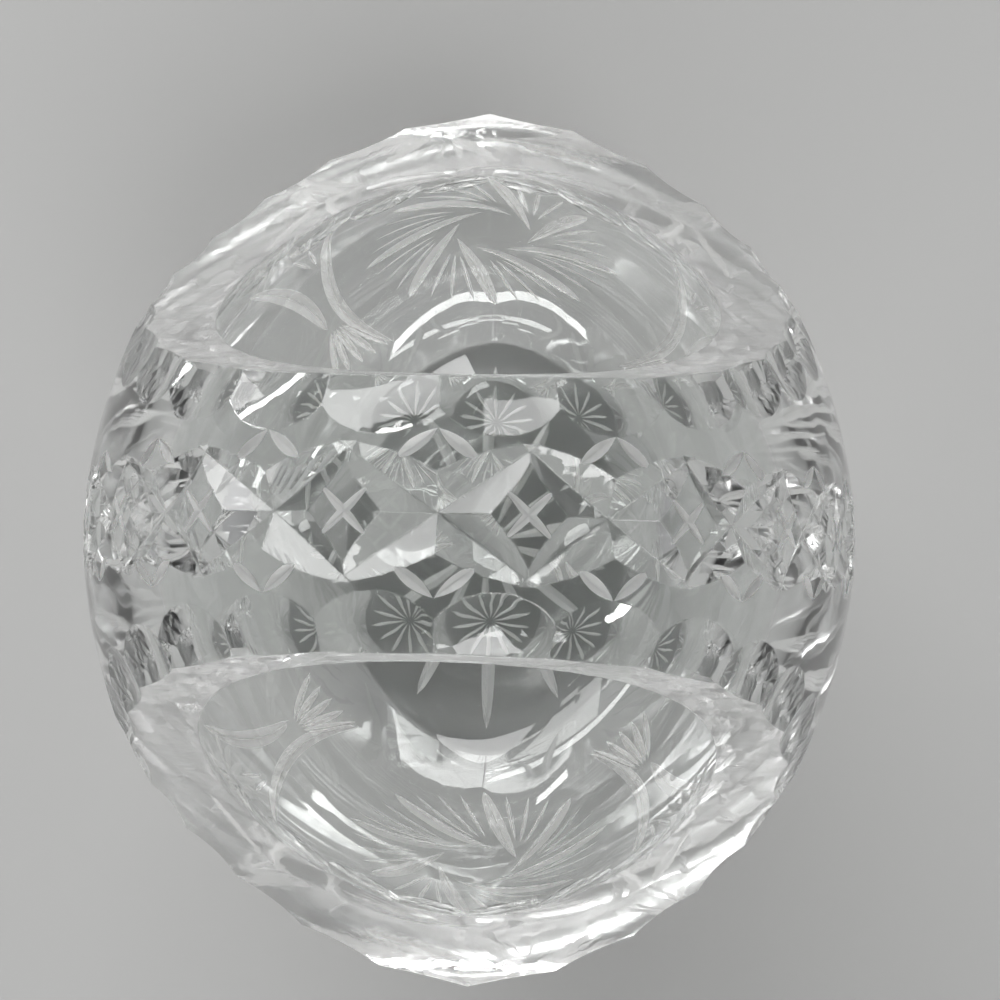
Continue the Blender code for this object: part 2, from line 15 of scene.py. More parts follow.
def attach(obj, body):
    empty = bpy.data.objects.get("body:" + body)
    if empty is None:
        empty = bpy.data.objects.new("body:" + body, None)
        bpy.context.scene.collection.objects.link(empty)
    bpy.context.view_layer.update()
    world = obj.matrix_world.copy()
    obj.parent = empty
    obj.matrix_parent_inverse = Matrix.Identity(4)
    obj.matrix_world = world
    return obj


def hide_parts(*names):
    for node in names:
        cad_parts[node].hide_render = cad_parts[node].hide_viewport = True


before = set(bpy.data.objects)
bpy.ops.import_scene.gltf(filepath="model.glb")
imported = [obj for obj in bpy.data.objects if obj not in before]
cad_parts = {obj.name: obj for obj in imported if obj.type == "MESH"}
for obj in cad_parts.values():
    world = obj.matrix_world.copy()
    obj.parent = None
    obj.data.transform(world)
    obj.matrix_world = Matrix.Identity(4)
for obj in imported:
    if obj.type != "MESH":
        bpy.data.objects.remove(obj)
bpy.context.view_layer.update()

# The egg
HALF_WIDTH = 0.065  # X, at the belly
HALF_LENGTH = 0.0815  # Y, at the belly
HEIGHT = 0.174
BELLY_HEIGHT = 0.0655
PLAN_ROUNDNESS = 1.82  # 2 gives a plain oval seen from above, less gives more pointed ends
BASE_HALF_WIDTH = 0.0465  # X, where the egg is cut flat
WALL_AT_SIDES = 0.0075
WALL_AT_ENDS = 0.0145
HANDLE_THICKNESS = 0.006
FLOOR_THICKNESS = 0.014
CAVITY_SQUARENESS = 3.0  # 2 gives a round cavity floor, more gives a flatter one

# The windows
HANDLE_WIDTH = 0.0258  # Y, at the top of the arch
RIM_TIP_HEIGHT = 0.082  # where the rim is lowest, at both ends of the bowl
RIM_SWOOP = 0.72  # 1 gives a straight rise from tip to handle, less gives a deeper swoop

# Flutes along the window edges, from the bowl's tips to the handle
FLUTE_PITCH_ON_HANDLE = 0.0117
FLUTE_PITCH_ON_BOWL = 0.0172
FLUTE_DEPTH_ON_HANDLE = 0.0014
FLUTE_DEPTH_ON_BOWL = 0.0014
FLUTE_LENGTH_ON_HANDLE = 0.0060
FLUTE_LENGTH_ON_BOWL = 0.0110
FLUTE_OVERLAP = 1.22  # how far each flute runs into the next, which makes the ridge between
FLUTE_CHANGE_LOW = 0.100  # below this height flutes have their size on the bowl
FLUTE_CHANGE_HIGH = 0.150  # and above this one their size on the handle

# The wheels that cut grooves
WHEEL_HALF_ANGLE = math.radians(55)
CROSS_WHEEL_HALF_ANGLE = math.radians(62)
CUTTER_CLEARANCE = 0.0005  # how far a cutter stands out of the glass
SATIN_FULLNESS = 0.6  # 1 draws a cut out to long points, less leaves its ends blunter
BLADE_TAPER = 1.4  # 1 makes a blade widest in its middle, more makes it widest further out

# The chain of crosses over the handle
CROSS_PITCH = 0.0176
CROSS_COUNT_PER_SIDE = 6
CROSS_REACH = 0.0098  # half its length along the handle
CROSS_HALF_HEIGHT = 0.0068
CROSS_WIDTH = 0.0070  # where its two legs cross
SMALL_CROSS_REACH = 0.0028
SMALL_CROSS_WIDTH = 0.0010
LEAF_PAIR_APEX = 0.0080  # from the handle's middle line
LEAF_PAIR_FOOT = 0.0047
LEAF_PAIR_SPREAD = 0.0042
LEAF_PAIR_WIDTH = 0.0014

# Pinwheels on the end walls
PINWHEEL_HEIGHT = 0.045
PINWHEEL_BLADES = 8
PINWHEEL_HUB = 0.0110  # the blades' inner ends lie on this circle
PINWHEEL_RADIUS = 0.0390
PINWHEEL_SWIRL = math.radians(75)  # from a blade's tip round to its inner end
PINWHEEL_BLADE_WIDTH = 0.0042
PINWHEEL_RAYS = 3  # fine rays between two blades
PINWHEEL_RAY_START = 0.0165
PINWHEEL_RAY_END = 0.0370
PINWHEEL_RAY_SWIRL = math.radians(22)
PINWHEEL_RAY_GATHER = 0.55  # 1 keeps rays as far apart inside as outside, less draws them together
PINWHEEL_RAY_WIDTH = 0.0012

# Sprigs between the pinwheels and the handle. A place on the wall is its azimuth from the X axis,
# in degrees, and its height. A leaf is given by its two ends and its middle.
SPRIG_TURN = -4  # all four sprigs sit turned by this against the handle
SPRIG_OUTER_LEAF = ((53.5, 0.090), (45.5, 0.045), (52.5, 0.0135))
SPRIG_OUTER_LEAF_WIDTH = 0.0036
SPRIG_RIM_LEAF = ((33.5, 0.090), (39, 0.063), (40.3, 0.037))
SPRIG_RIM_LEAF_WIDTH = 0.0046
SPRIG_FAN_RAYS = 5
SPRIG_FAN_ROOT = (42, 0.039)
SPRIG_FAN_EDGE = ((34.5, 0.018), (51, 0.0135))  # where the first and the last ray end
SPRIG_FAN_START = 0.2  # share of a ray that is left uncut next to the root
SPRIG_FAN_WIDTH = 0.0022
SPRIG_RIM_FAN_RAYS = 3
SPRIG_RIM_FAN_ROOT = (46, 0.064)
SPRIG_RIM_FAN_EDGE = ((43, 0.083), (50, 0.080))
SPRIG_RIM_FAN_START = 0.35
SPRIG_RIM_FAN_WIDTH = 0.0011

# Star under the base
STAR_RAYS = 14
STAR_START = 0.0035
STAR_MARGIN = 0.0085  # flat ring left between the star and the base's edge
STAR_RAY_WIDTH = 0.0036
STAR_TAPER = 1.5  # 1 makes a ray widest in its middle, more makes it widest further out

# Faces per shape
EGG_DIVISIONS = 40  # along a quarter of its girth
CAVITY_DIVISIONS = 36
RIM_POINTS = 120
EDGE_STEPS = 400  # of a window edge and the handle's arch, as paths that cuts are laid along
ARCH_HALF_TURN = math.radians(120)  # how far round the egg the arch's path runs down on each side
LONG_GROOVE_STATIONS = 14
SHORT_GROOVE_STATIONS = 6
FLUTE_SEGMENTS = 24
FLUTE_RINGS = (0.3, 0.55, 0.8, 1.0, 1.3)  # shares of the flute's own outline
BISECTIONS = 40
CREASE = math.radians(24)  # edges sharper than this are shaded as edges

# What follows from the sizes above
BELLY_CENTRE = Vector((0, 0, BELLY_HEIGHT))
SHELL_RISE = HEIGHT - BELLY_HEIGHT
SHELL_DROP = BELLY_HEIGHT / math.sqrt(1 - (BASE_HALF_WIDTH / HALF_WIDTH) ** 2)
CAVITY_HALF_WIDTH = HALF_WIDTH - WALL_AT_SIDES
CAVITY_HALF_LENGTH = HALF_LENGTH - WALL_AT_ENDS
CAVITY_RISE = SHELL_RISE - HANDLE_THICKNESS
CAVITY_DROP = BELLY_HEIGHT - FLOOR_THICKNESS
BASE_HALF_LENGTH = BASE_HALF_WIDTH * HALF_LENGTH / HALF_WIDTH
HANDLE_HALF_WIDTH = HANDLE_WIDTH / 2
BEYOND = HEIGHT  # how far a trimming block reaches past the glass

UP = Vector((0, 0, 1))

# Material slots of the crystal, in order
SHELL, CAVITY, RIM, FLUTE, CROSS, FINE, SATIN, STAR, FOOT = range(9)

# The glass
REFRACTIVE_INDEX = 1.55
CLEAR = (0.93, 0.945, 0.935)
FROSTED = (1.0, 1.0, 0.99)
RIM_CLEARNESS = 0.86  # share of the light that goes through, the rest is scattered back
FINE_CLEARNESS = 0.9
STAR_CLEARNESS = 0.5
EDGE_RADIUS = 0.00025  # of the polished edges between two cuts
EDGE_SAMPLES = 4
NOISE_DETAIL = 2.0
NOISE_LOW = 0.3  # most of the noise lies between these two values
NOISE_HIGH = 0.7

# Relief on the glass: its size along the surface and its height
OUTSIDE_WAVES = (0.018, 0.00006)
INSIDE_WAVES = (0.024, 0.00008)
RIM_WAVES = (0.004, 0.00012)
FLUTE_WAVES = (0.005, 0.00007)
CUT_WAVES = (0.005, 0.00002)
SATIN_GRAIN = (0.0004, 0.00004)
STAR_GRAIN = (0.0005, 0.00003)
FOOT_GRAIN = (0.0012, 0.00001)

# Roughness: the lowest and the highest
POLISHED = (0.0, 0.02)
RIM_BLUR = (0.04, 0.18)
FINE_BLUR = (0.5, 0.7)
SATIN_BLUR = (0.9, 1.0)
STAR_BLUR = (0.4, 0.55)
FOOT_BLUR = (0.02, 0.25)

# The studio
FLOOR_SIDE = 2.6
FLOOR_GAP = 0.0004
FLOOR_COLOUR = (0.40, 0.40, 0.395)
FLOOR_ROUGHNESS = 0.8
WORLD_AT_HORIZON = (0.35, 0.35, 0.355)
WORLD_OVERHEAD = (0.14, 0.14, 0.14)
WORLD_TURN = 0.5  # height on the sky at which it has its colour overhead
GLASS_BOUNCES = 20  # enough for light that runs along inside the wall and the handle

# The lamps, all aimed at the bowl, and far enough off to light the floor evenly
LAMP_AIM = Vector((0, 0, 0.06))
KEY_PLACE = Vector((-0.50, 1.90, 1.44))
KEY_SIZE = (2.6, 1.0)
KEY_WATTS = 48.0
FAR_STRIP_PLACE = Vector((-1.15, 1.75, 0.74))
FAR_STRIP_SIZE = (2.4, 0.14)
FAR_STRIP_WATTS = 24.0
NEAR_STRIP_PLACE = Vector((0.20, -2.10, 0.78))
NEAR_STRIP_SIZE = (2.8, 0.14)
NEAR_STRIP_WATTS = 48.0
NEAR_TOP_PLACE = Vector((0.70, -1.20, 1.94))
NEAR_TOP_SIZE = (0.8, 0.6)
NEAR_TOP_WATTS = 12.0

# The camera, from the photograph's perspective
CAMERA_PLACE = Vector((0.00813, -0.00458, 0.26587))
PHOTO_SIDE = 1000
FOCAL_PIXELS = 1000
NADIR_PIXEL = (523.9, 563.6)  # where the photograph looks straight down
PHOTO_ROLL = math.radians(1.44)  # the handle runs down to the right by this much
SENSOR_WIDTH = 36.0
CLIP_START = 0.01


def plan_level(x, y, half_width, half_length):
    """Seen from above: 1 on an outline of these half sizes, less inside it and more outside."""
    across = (abs(x) / half_width) ** PLAN_ROUNDNESS
    along = (abs(y) / half_length) ** PLAN_ROUNDNESS
    return (across + along) ** (1 / PLAN_ROUNDNESS)


def shell_vertical(z):
    """The egg's vertical half size on this side of the belly."""
    return SHELL_RISE if z > 0 else SHELL_DROP


def on_shell(point):
    """The point of the outer surface in the direction of this one, seen from the belly's centre."""
    ray = point - BELLY_CENTRE
    level = plan_level(ray.x, ray.y, HALF_WIDTH, HALF_LENGTH)
    return BELLY_CENTRE + ray / math.hypot(level, ray.z / shell_vertical(ray.z))


def shell_normal(point):
    """The outward direction of the outer surface at a point on it."""
    ray = point - BELLY_CENTRE
    level = plan_level(ray.x, ray.y, HALF_WIDTH, HALF_LENGTH)
    bend = level ** (2 - PLAN_ROUNDNESS)
    steep = PLAN_ROUNDNESS - 1
    return Vector(
        (
            bend * math.copysign((abs(ray.x) / HALF_WIDTH) ** steep, ray.x) / HALF_WIDTH,
            bend * math.copysign((abs(ray.y) / HALF_LENGTH) ** steep, ray.y) / HALF_LENGTH,
            ray.z / shell_vertical(ray.z) ** 2,
        )
    ).normalized()


def cavity_normal(point):
    """The direction out of the glass, into the hollow, at a point of the cavity's wall."""
    ray = point - BELLY_CENTRE
    level = plan_level(ray.x, ray.y, CAVITY_HALF_WIDTH, CAVITY_HALF_LENGTH)
    bend = level ** (2 - PLAN_ROUNDNESS)
    if ray.z > 0:
        depth = ray.z / CAVITY_RISE**2
    else:
        bend *= level ** (CAVITY_SQUARENESS - 2)
        depth = -((-ray.z / CAVITY_DROP) ** (CAVITY_SQUARENESS - 1)) / CAVITY_DROP
    steep = PLAN_ROUNDNESS - 1
    x = math.copysign((abs(ray.x) / CAVITY_HALF_WIDTH) ** steep, ray.x)
    y = math.copysign((abs(ray.y) / CAVITY_HALF_LENGTH) ** steep, ray.y)
    slope = Vector((bend * x / CAVITY_HALF_WIDTH, bend * y / CAVITY_HALF_LENGTH, depth))
    return -slope.normalized()


def wall_point(azimuth, height):
    """The point of the outer surface at an azimuth from the X axis, in degrees, and a height."""
    z = height - BELLY_HEIGHT
    reach = math.sqrt(1 - (z / shell_vertical(z)) ** 2)
    x = math.cos(math.radians(azimuth))
    y = math.sin(math.radians(azimuth))
    reach /= plan_level(x, y, 1, 1)
    return Vector((HALF_WIDTH * reach * x, HALF_LENGTH * reach * y, height))


def rim_height(y):
    """Height of the window edge, which swoops from the tips of the bowl up to the handle."""
    out = (abs(y) - HANDLE_HALF_WIDTH) / (HALF_LENGTH - HANDLE_HALF_WIDTH)
    share = (1 - min(max(out, 0), 1) ** RIM_SWOOP) ** (1 / RIM_SWOOP)
    return RIM_TIP_HEIGHT + (HEIGHT - RIM_TIP_HEIGHT) * share


def rim_out(y):
    """How far out in X the window edge lies at this y, or 0 past its two ends."""
    rise = (rim_height(y) - BELLY_HEIGHT) / SHELL_RISE
    reach = math.sqrt(max(1 - rise**2, 0)) ** PLAN_ROUNDNESS
    rest = reach - (abs(y) / HALF_LENGTH) ** PLAN_ROUNDNESS
    return HALF_WIDTH * max(rest, 0) ** (1 / PLAN_ROUNDNESS)


def edge_end(inside, outside):
    """The y between these two at which a window edge meets the plane X = 0."""
    for _ in range(BISECTIONS):
        middle = (inside + outside) / 2
        if rim_out(middle) > 0:
            inside = middle
        else:
            outside = middle
    return inside


class Path:
    """A chain of points that can be read at a distance along it."""

    def __init__(self, points):
        self.points = points
        self.marks = [0.0]
        for here, there in zip(points, points[1:]):
            self.marks.append(self.marks[-1] + (there - here).length)
        self.length = self.marks[-1]

    def at(self, distance):
        distance = min(max(distance, 0.0), self.length)
        for i in range(len(self.points) - 1):
            if distance <= self.marks[i + 1]:
                run = self.marks[i + 1] - self.marks[i]
                share = (distance - self.marks[i]) / run if run else 0.0
                return self.points[i].lerp(self.points[i + 1], share)
        return self.points[-1].copy()

    def along(self, distance):
        """The direction of the path there, read over a small stretch of it."""
        step = self.length / (4 * len(self.points))
        return (self.at(distance + step) - self.at(distance - step)).normalized()


def new_object(name, bm, slot):
    """An object made from a bmesh, with all its faces in one material slot."""
    bmesh.ops.triangulate(bm, faces=bm.faces)
    for face in bm.faces:
        face.material_index = slot
    mesh = bpy.data.meshes.new(name)
    bm.to_mesh(mesh)
    bm.free()
    for material in GLASS:
        mesh.materials.append(material)
    obj = bpy.data.objects.new(name, mesh)
    bpy.context.scene.collection.objects.link(obj)
    return obj


def cutter(name, bm, slot):
    bmesh.ops.recalc_face_normals(bm, faces=bm.faces)
    return new_object(name, bm, slot)


def add_egg(bm, divisions, half_width, half_length, rise, drop, squareness=2.0):
    """An egg round the belly's centre: a cube cut into a grid and pushed out to a round form.

    rise and drop are its heights over and under the belly. squareness shapes its lower half.
    """
    bmesh.ops.create_cube(bm, size=2.0)
    bmesh.ops.subdivide_edges(
        bm, edges=bm.edges[:], cuts=divisions - 1, use_grid_fill=True
    )
    for vert in bm.verts:
        even = Vector([math.tan(c * math.pi / 4) for c in vert.co])
        x, y, z = even.normalized()
        level = math.hypot(x, y)
        if z < 0:
            z = -((1 - min(level, 1) ** squareness) ** (1 / squareness))
        stretch = level / plan_level(x, y, 1, 1) if level > 0 else 1
        vert.co = Vector(
            (
                x * stretch * half_width,
                y * stretch * half_length,
                z * (rise if z > 0 else drop),
            )
        )
    bmesh.ops.translate(bm, verts=bm.verts, vec=BELLY_CENTRE)


def egg_blank():
    bm = bmesh.new()
    add_egg(bm, EGG_DIVISIONS, HALF_WIDTH, HALF_LENGTH, SHELL_RISE, SHELL_DROP)
    return new_object("crystal", bm, SHELL)


def cavity_cutter():
    bm = bmesh.new()
    add_egg(
        bm,
        CAVITY_DIVISIONS,
        CAVITY_HALF_WIDTH,
        CAVITY_HALF_LENGTH,
        CAVITY_RISE,
        CAVITY_DROP,
        CAVITY_SQUARENESS,
    )
    return new_object("cavity", bm, CAVITY)


def foot_cutter():
    """What is ground off below the table level."""
    bm = bmesh.new()
    bmesh.ops.create_cube(bm, size=2 * BEYOND)
    bmesh.ops.translate(bm, verts=bm.verts, vec=-UP * BEYOND)
    return cutter("foot", bm, FOOT)


def window_cutter(side):
    """What is ground away on one side of the handle: the outline above the rim, run along X."""
    outline = [Vector((0, side * (HALF_LENGTH + BEYOND), RIM_TIP_HEIGHT))]
    for i in range(RIM_POINTS + 1):
        share = (1 - i / RIM_POINTS) ** (1 / RIM_SWOOP)
        y = HANDLE_HALF_WIDTH + (HALF_LENGTH - HANDLE_HALF_WIDTH) * share
        outline.append(Vector((0, side * y, rim_height(y))))
    outline.append(Vector((0, side * HANDLE_HALF_WIDTH, HEIGHT + BEYOND)))
    outline.append(Vector((0, side * (HALF_LENGTH + BEYOND), HEIGHT + BEYOND)))
    bm = bmesh.new()
    verts = [bm.verts.new(p - Vector((BEYOND, 0, 0))) for p in outline]
    face = bm.faces.new(verts)
    grown = bmesh.ops.extrude_face_region(bm, geom=[face])["geom"]
    moved = [v for v in grown if isinstance(v, bmesh.types.BMVert)]
    bmesh.ops.translate(bm, verts=moved, vec=Vector((2 * BEYOND, 0, 0)))
    return cutter(f"window_{'far' if side > 0 else 'near'}", bm, RIM)


def add_groove(
    bm, points, normals, width, taper=1.0, fullness=1.0, wheel=WHEEL_HALF_ANGLE
):
    """A V groove along points on the glass: the solid that the wheel takes, closed at both ends.

    taper moves the widest place: 1 is the middle, more is nearer the far end. fullness under 1
    makes the ends blunter. wheel is the half angle of the wheel's edge.
    """
    last = len(points) - 1
    bottoms = []
    lefts = []
    rights = []
    for i, (point, normal) in enumerate(zip(points, normals)):
        ahead = points[min(i + 1, last)] - points[max(i - 1, 0)]
        across = ahead.cross(normal).normalized()
        share = (i / last) ** taper
        half = width / 2 * (4 * share * (1 - share)) ** fullness
        depth = half / math.tan(wheel)
        top_half = half + CUTTER_CLEARANCE * math.tan(wheel)
        top = point + normal * CUTTER_CLEARANCE
        bottoms.append(bm.verts.new(point - normal * depth))
        lefts.append(bm.verts.new(top - across * top_half))
        rights.append(bm.verts.new(top + across * top_half))
    for i in range(last):
        for near, far in ((bottoms, lefts), (lefts, rights), (rights, bottoms)):
            bm.faces.new((near[i], near[i + 1], far[i + 1], far[i]))
    for i in (0, last):
        bm.faces.new((bottoms[i], lefts[i], rights[i]))


def shell_groove(bm, route, width, stations, **shape):
    """A V groove that follows a route laid on the outer surface.

    route takes a share from 0 to 1 and gives a point near the surface. shape is passed on.
    """
    points = [on_shell(route(i / stations)) for i in range(stations + 1)]
    normals = [shell_normal(point) for point in points]
    add_groove(bm, points, normals, width, **shape)


def straight(start, end):
    return lambda share: start.lerp(end, share)


def curved(start, middle, end):
    """A route from start through middle to end."""
    bow = middle - (start + end) / 2
    return lambda share: start.lerp(end, share) + bow * 4 * share * (1 - share)


def add_flute(bm, edge_point, along, half_width, length, depth):
    """A hollow flute that opens to the window edge: a shallow dish laid on the outer surface."""
    normal = shell_normal(edge_point)
    inward = normal.cross(along).normalized()
    loops = []
    for radius in FLUTE_RINGS:
        loop = []
        for i in range(FLUTE_SEGMENTS):
            angle = 2 * math.pi * i / FLUTE_SEGMENTS
            place = (
                edge_point
                + along * half_width * radius * math.cos(angle)
                + inward * length * radius * math.sin(angle)
            )
            foot = on_shell(place)
            sunk = depth * (1 - radius**2)
            loop.append(bm.verts.new(foot - shell_normal(foot) * sunk))
        loops.append(loop)
    pit = bm.verts.new(edge_point - normal * depth)
    lid = bm.verts.new(edge_point + normal * (depth + CUTTER_CLEARANCE))
    for i in range(FLUTE_SEGMENTS):
        j = (i + 1) % FLUTE_SEGMENTS
        bm.faces.new((pit, loops[0][i], loops[0][j]))
        for inner, outer in zip(loops, loops[1:]):
            bm.faces.new((inner[i], outer[i], outer[j], inner[j]))
        bm.faces.new((loops[-1][i], lid, loops[-1][j]))


def window_edge(side):
    """Half the outer edge of one window as a path, from the bowl's tip over +X to the handle."""
    inside = (HANDLE_HALF_WIDTH + HALF_LENGTH) / 2
    tip = edge_end(inside, HALF_LENGTH)
    top = edge_end(inside, HANDLE_HALF_WIDTH)
    points = []
    for i in range(EDGE_STEPS + 1):
        # a half turn of a cosine puts more points near both ends, where the edge bends most
        y = top + (tip - top) * (1 + math.cos(math.pi * i / EDGE_STEPS)) / 2
        points.append(Vector((rim_out(y), side * y, rim_height(y))))
    return Path(points)


def fluted(height, on_handle, on_bowl):
    """A flute's size at this height: one value on the handle, another on the bowl."""
    share = (height - FLUTE_CHANGE_LOW) / (FLUTE_CHANGE_HIGH - FLUTE_CHANGE_LOW)
    return on_bowl + (on_handle - on_bowl) * min(max(share, 0.0), 1.0)


def flute_marks(edge):
    """Distances along an edge at which one flute ends and the next begins."""
    step = edge.length / EDGE_STEPS
    counts = [0.0]
    for i in range(EDGE_STEPS):
        height = edge.at((i + 0.5) * step).z
        pitch = fluted(height, FLUTE_PITCH_ON_HANDLE, FLUTE_PITCH_ON_BOWL)
        counts.append(counts[-1] + step / pitch)
    flutes = round(counts[-1])
    marks = [0.0]
    for i in range(EDGE_STEPS):
        wanted = len(marks) * counts[-1] / flutes
        if counts[i + 1] >= wanted and len(marks) < flutes:
            share = (wanted - counts[i]) / (counts[i + 1] - counts[i])
            marks.append((i + share) * step)
    marks.append(edge.length)
    return marks


def flute_cutters():
    """Flutes round both windows, every second one in its own cutter, so that none overlap."""
    layers = [bmesh.new(), bmesh.new()]
    for side in (1, -1):
        edge = window_edge(side)
        marks = flute_marks(edge)
        for i, (first, last) in enumerate(zip(marks, marks[1:])):
            distance = (first + last) / 2
            point = on_shell(edge.at(distance))
            along = edge.along(distance)
            half_width = (last - first) / 2 * FLUTE_OVERLAP
            length = fluted(point.z, FLUTE_LENGTH_ON_HANDLE, FLUTE_LENGTH_ON_BOWL)
            depth = fluted(point.z, FLUTE_DEPTH_ON_HANDLE, FLUTE_DEPTH_ON_BOWL)
            # the same flute on both sides of the basket
            for hand in (1, -1):
                flip = Vector((hand, 1, 1))
                add_flute(
                    layers[(i + (hand < 0)) % 2],
                    point * flip,
                    along * flip * side * hand,
                    half_width,
                    length,
                    depth,
                )
    return [cutter(f"flutes_{i}", bm, FLUTE) for i, bm in enumerate(layers)]


def handle_arch():
    """The handle's middle line over the top, as a path on the outer surface along +X."""
    points = []
    for i in range(EDGE_STEPS + 1):
        angle = ARCH_HALF_TURN * (2 * i / EDGE_STEPS - 1)
        height = math.cos(angle)
        points.append(
            BELLY_CENTRE
            + Vector((HALF_WIDTH * math.sin(angle), 0, shell_vertical(height) * height))
        )
    return Path(points)


def cross_chain_cutters():
    """The chain of crosses over the handle, with the small satin cuts between them."""
    arch = handle_arch()
    middle = arch.length / 2

    def place(distance, y):
        return arch.at(middle + distance) + Vector((0, y, 0))

    cutters = []
    for lean in (1, -1):
        long_cuts = bmesh.new()
        small_cuts = bmesh.new()
        for i in range(-CROSS_COUNT_PER_SIDE, CROSS_COUNT_PER_SIDE + 1):
            s = i * CROSS_PITCH

            def leg(share, s=s):
                t = 2 * share - 1
                return place(s + t * CROSS_REACH, lean * t * CROSS_HALF_HEIGHT)

            shell_groove(
                long_cuts,
                leg,
                CROSS_WIDTH,
                LONG_GROOVE_STATIONS,
                wheel=CROSS_WHEEL_HALF_ANGLE,
            )
            # one leaf of the pair in the field above, one in the field below
            for up in (1, -1):
                start = place(s, up * LEAF_PAIR_APEX)
                end = place(s + lean * up * LEAF_PAIR_SPREAD, up * LEAF_PAIR_FOOT)
                shell_groove(
                    small_cuts,
                    straight(start, end),
                    LEAF_PAIR_WIDTH,
                    SHORT_GROOVE_STATIONS,
                )
            # the small cross in the diamond after this one
            if i < CROSS_COUNT_PER_SIDE:
                d = s + CROSS_PITCH / 2
                start = place(d - SMALL_CROSS_REACH, -lean * SMALL_CROSS_REACH)
                end = place(d + SMALL_CROSS_REACH, lean * SMALL_CROSS_REACH)
                shell_groove(
                    small_cuts,
                    straight(start, end),
                    SMALL_CROSS_WIDTH,
                    SHORT_GROOVE_STATIONS,
                )
        name = "rising" if lean > 0 else "falling"
        cutters.append(cutter(f"crosses_{name}", long_cuts, CROSS))
        cutters.append(cutter(f"small_cuts_{name}", small_cuts, FINE))
    return cutters


class Field:
    """A place on the bowl's wall with its own sideways and upward directions."""

    def __init__(self, azimuth, height):
        self.centre = wall_point(azimuth, height)
        out = shell_normal(self.centre)
        self.right = UP.cross(out).normalized()
        self.up = out.cross(self.right).normalized()

    def polar(self, radius, angle):
        sideways = self.right * radius * math.cos(angle)
        return self.centre + sideways + self.up * radius * math.sin(angle)


def pinwheel_cutters():
    """A pinwheel on each end wall: leaf blades that miss the hub to one side, with rays between."""
    layers = [bmesh.new(), bmesh.new(), bmesh.new()]
    step = 2 * math.pi / PINWHEEL_BLADES
    for azimuth in (90, -90):
        field = Field(azimuth, PINWHEEL_HEIGHT)
        for i in range(PINWHEEL_BLADES):
            angle = step * i
            start = field.polar(PINWHEEL_HUB, angle + PINWHEEL_SWIRL)
            end = field.polar(PINWHEEL_RADIUS, angle)
            shell_groove(
                layers[i % 2],
                straight(start, end),
                PINWHEEL_BLADE_WIDTH,
                LONG_GROOVE_STATIONS,
                taper=BLADE_TAPER,
                fullness=SATIN_FULLNESS,
            )
            for j in range(PINWHEEL_RAYS):
                turn = (j + 1) / (PINWHEEL_RAYS + 1)
                inner = 0.5 + (turn - 0.5) * PINWHEEL_RAY_GATHER
                start = field.polar(
                    PINWHEEL_RAY_START, angle + PINWHEEL_RAY_SWIRL + step * inner
                )
                end = field.polar(PINWHEEL_RAY_END, angle + step * turn)
                shell_groove(
                    layers[2],
                    straight(start, end),
                    PINWHEEL_RAY_WIDTH,
                    SHORT_GROOVE_STATIONS,
                    fullness=SATIN_FULLNESS,
                )
    return [cutter(f"pinwheels_{i}", bm, SATIN) for i, bm in enumerate(layers)]


def corner_point(place, hand, end):
    """A place of the sprig in one of the four corners: +X or -X by hand, +Y or -Y by end."""
    azimuth, height = place
    if hand * end < 0:
        azimuth = -azimuth
    if hand < 0:
        azimuth += 180
    return wall_point(azimuth + SPRIG_TURN, height)


def sprig_cutters():
    """A leaf sprig in each corner between a pinwheel and the handle's foot."""
    leaves = bmesh.new()
    fans = [bmesh.new(), bmesh.new()]
    for hand, end in ((1, 1), (1, -1), (-1, 1), (-1, -1)):
        for leaf, width in (
            (SPRIG_OUTER_LEAF, SPRIG_OUTER_LEAF_WIDTH),
            (SPRIG_RIM_LEAF, SPRIG_RIM_LEAF_WIDTH),
        ):
            start, middle, finish = (corner_point(place, hand, end) for place in leaf)
            shell_groove(
                leaves,
                curved(start, middle, finish),
                width,
                LONG_GROOVE_STATIONS,
                fullness=SATIN_FULLNESS,
            )
        for rays, root, edge, uncut, width in (
            (
                SPRIG_FAN_RAYS,
                SPRIG_FAN_ROOT,
                SPRIG_FAN_EDGE,
                SPRIG_FAN_START,
                SPRIG_FAN_WIDTH,
            ),
            (
                SPRIG_RIM_FAN_RAYS,
                SPRIG_RIM_FAN_ROOT,
                SPRIG_RIM_FAN_EDGE,
                SPRIG_RIM_FAN_START,
                SPRIG_RIM_FAN_WIDTH,
            ),
        ):
            apex = corner_point(root, hand, end)
            first, last = (corner_point(place, hand, end) for place in edge)
            for i in range(rays):
                tip = first.lerp(last, i / (rays - 1))
                shell_groove(
                    fans[i % 2],
                    straight(apex.lerp(tip, uncut), tip),
                    width,
                    SHORT_GROOVE_STATIONS,
                    fullness=SATIN_FULLNESS,
                )
    return [
        cutter("leaves", leaves, SATIN),
        *(cutter(f"fans_{i}", bm, SATIN) for i, bm in enumerate(fans)),
    ]


def star_cutter():
    """The star under the base: rays that widen outwards and stop short of the edge."""
    bm = bmesh.new()
    for i in range(STAR_RAYS):
        angle = 2 * math.pi * (i + 0.5) / STAR_RAYS
        reach = 1 / plan_level(
            math.cos(angle),
            math.sin(angle),
            BASE_HALF_WIDTH - STAR_MARGIN,
            BASE_HALF_LENGTH - STAR_MARGIN,
        )
        way = Vector((math.cos(angle), math.sin(angle), 0))
        points = [
            way * (STAR_START + (reach - STAR_START) * j / LONG_GROOVE_STATIONS)
            for j in range(LONG_GROOVE_STATIONS + 1)
        ]
        add_groove(
            bm,
            points,
            [-UP] * len(points),
            STAR_RAY_WIDTH,
            STAR_TAPER,
            SATIN_FULLNESS,
        )
    return cutter("star", bm, STAR)


